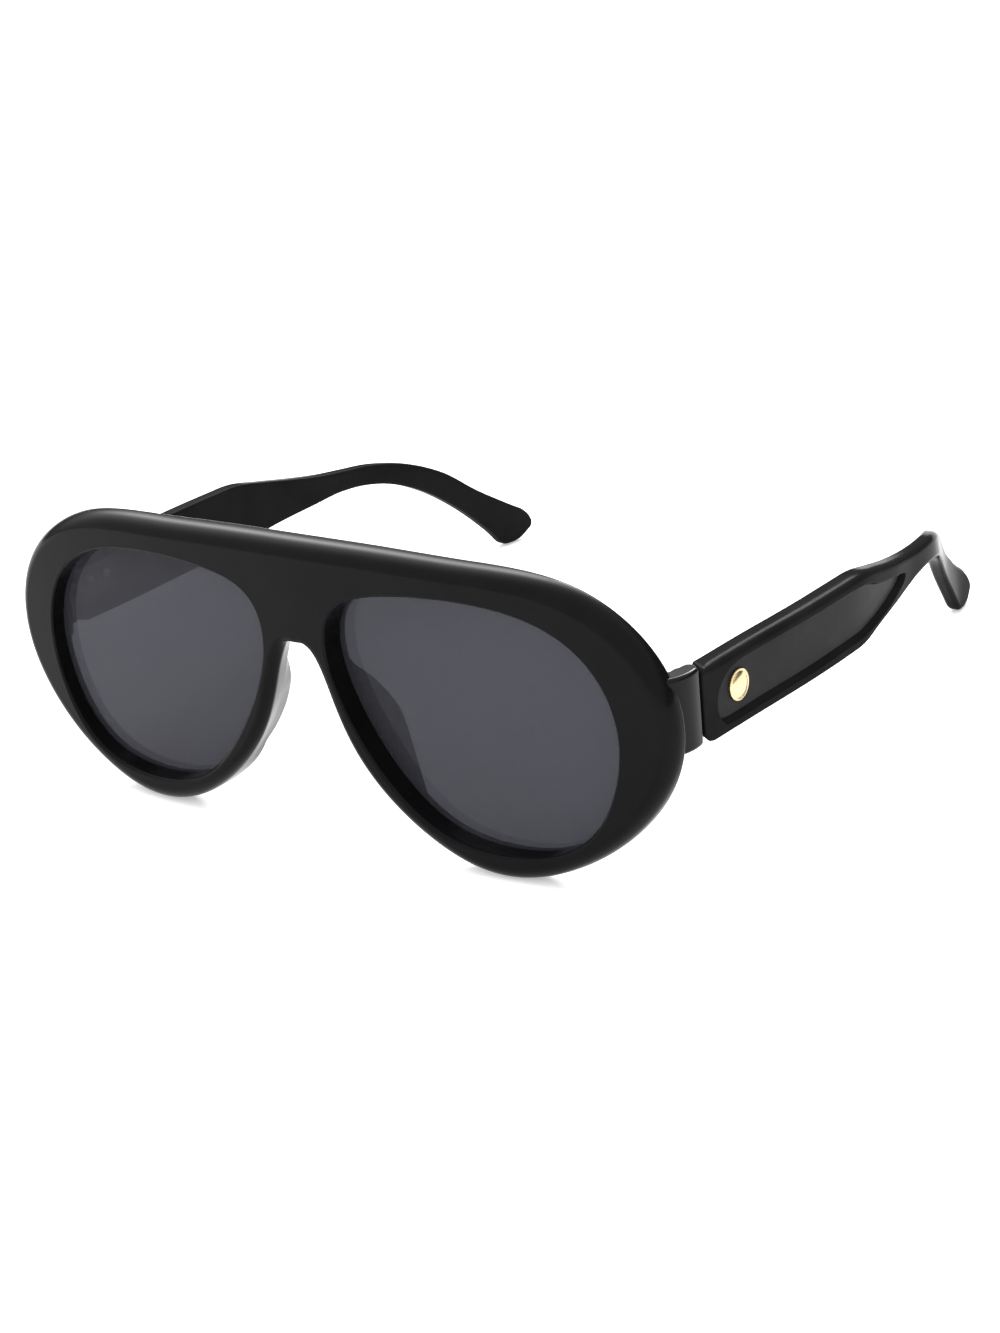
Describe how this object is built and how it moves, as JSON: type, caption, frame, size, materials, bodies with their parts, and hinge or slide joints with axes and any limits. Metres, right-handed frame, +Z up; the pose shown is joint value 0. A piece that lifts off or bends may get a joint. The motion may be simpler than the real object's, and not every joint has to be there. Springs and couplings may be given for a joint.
{
  "type": "sunglasses",
  "caption": "Oversized sunglasses with a thick black teardrop front, dark lenses, recessed side panels with a gold stud, and folding temples, standing open.",
  "frame": {"origin": "centre of the bounding box in plan, at the table under the rims and the temple tips, pair open", "axes": "+Z up, the front faces -Y, the temples run back along +Y, +X is the wearer's left"},
  "size_m": [0.1514, 0.142, 0.056],
  "materials": {
    "black_acetate": "polished deep black",
    "pad_acetate": "polished black",
    "tinted_lens": "dark grey tint, polished",
    "hinge_steel": "satin",
    "rivet_steel": "polished",
    "screw_steel": "turned",
    "core_steel": "drawn wire",
    "gold_metal": "polished light gold"
  },
  "bodies": {
    "front": {"front_frame": "black_acetate", "lens_left": "tinted_lens", "lens_right": "tinted_lens", "nose_pad_left": "pad_acetate", "nose_pad_right": "pad_acetate", "front_hinge_left": "hinge_steel", "front_hinge_right": "hinge_steel", "front_hinge_rivets_left": "rivet_steel", "front_hinge_rivets_right": "rivet_steel"},
    "left_arm": {"temple_left": "black_acetate", "temple_hinge_left": "hinge_steel", "temple_hinge_rivets_left": "rivet_steel", "hinge_screw_left": "screw_steel", "temple_core_left": "core_steel", "side_stud_left": "gold_metal"},
    "right_arm": {"temple_right": "black_acetate", "temple_hinge_right": "hinge_steel", "temple_hinge_rivets_right": "rivet_steel", "hinge_screw_right": "screw_steel", "temple_core_right": "core_steel", "side_stud_right": "gold_metal"}
  },
  "joints": [
    {"name": "left_arm_fold", "type": "hinge", "parent": "front", "child": "left_arm", "pos_m": [0.0686, -0.05537, 0.03295], "axis": [0, 0.0506, 0.9987], "range_deg": [0, 84]},
    {"name": "right_arm_fold", "type": "hinge", "parent": "front", "child": "right_arm", "pos_m": [-0.0686, -0.05537, 0.03295], "axis": [0, -0.0506, -0.9987], "range_deg": [0, 77]}
  ]
}
